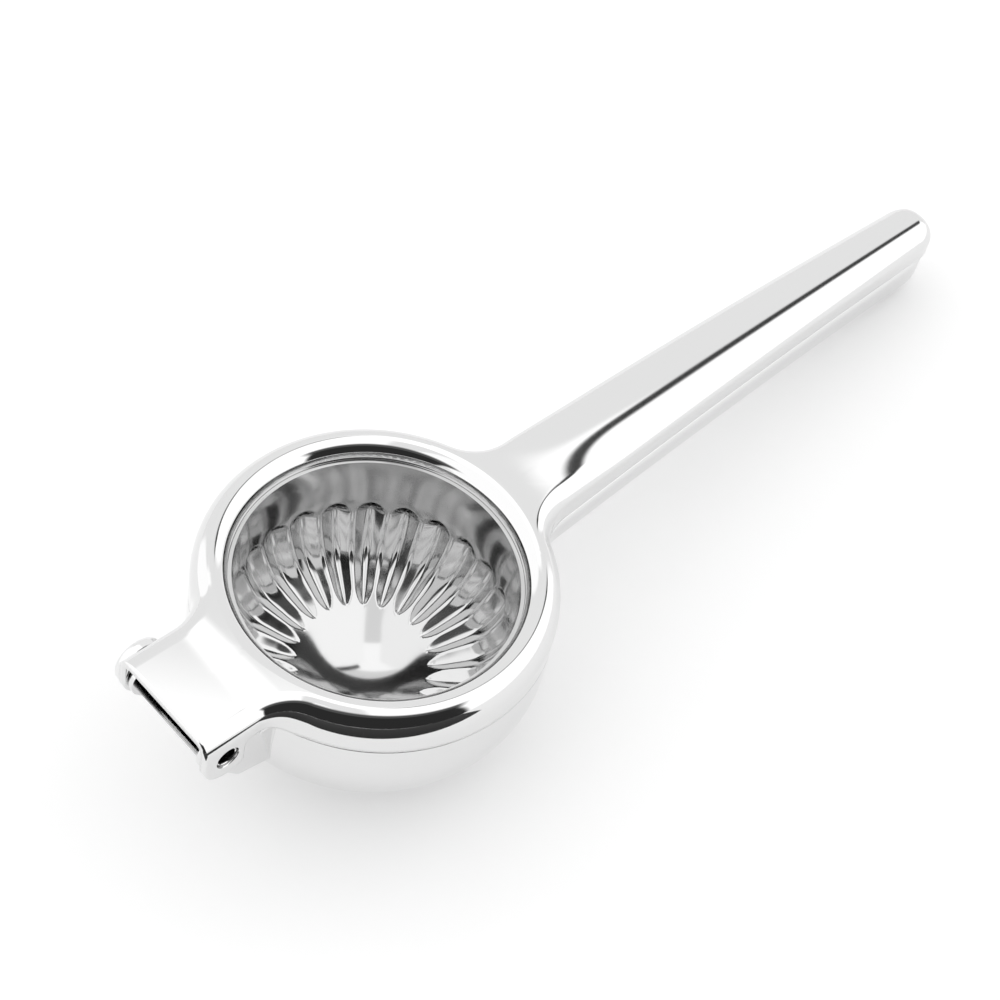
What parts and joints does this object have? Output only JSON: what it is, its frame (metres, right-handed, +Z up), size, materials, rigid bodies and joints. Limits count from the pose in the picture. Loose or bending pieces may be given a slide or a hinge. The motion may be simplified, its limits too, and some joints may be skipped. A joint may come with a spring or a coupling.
{
  "type": "hinged lemon squeezer",
  "caption": "Hinged lemon squeezer in polished stainless steel: a ring with a fluted press cup closes over a slotted strainer bowl, with two hollow handles and a hinge pin.",
  "frame": {"origin": "centre of the bowl's flat outer floor", "axes": "+X from the hinge to the handle tips, level, and +Z up, as the tool rests on a flat surface"},
  "size_m": [0.2219, 0.077, 0.0556],
  "materials": {
    "polished_steel": "mirror-polished stainless sheet",
    "drawn_steel": "polished stainless sheet, deep drawn",
    "cover_steel": "satin stainless sheet",
    "pin_steel": "polished stainless rivet"
  },
  "bodies": {
    "bowl_side": {"bowl_arm": "polished_steel", "bowl_handle_cover": "cover_steel"},
    "press_side": {"press_arm": "polished_steel", "press_cup": "drawn_steel", "press_handle_cover": "cover_steel", "hinge_pin": "pin_steel"}
  },
  "joints": [
    {"name": "press_hinge", "type": "hinge", "parent": "bowl_side", "child": "press_side", "pos_m": [-0.0422, 0, 0.043], "axis": [0, -1, 0], "range_deg": [0, 110]}
  ]
}
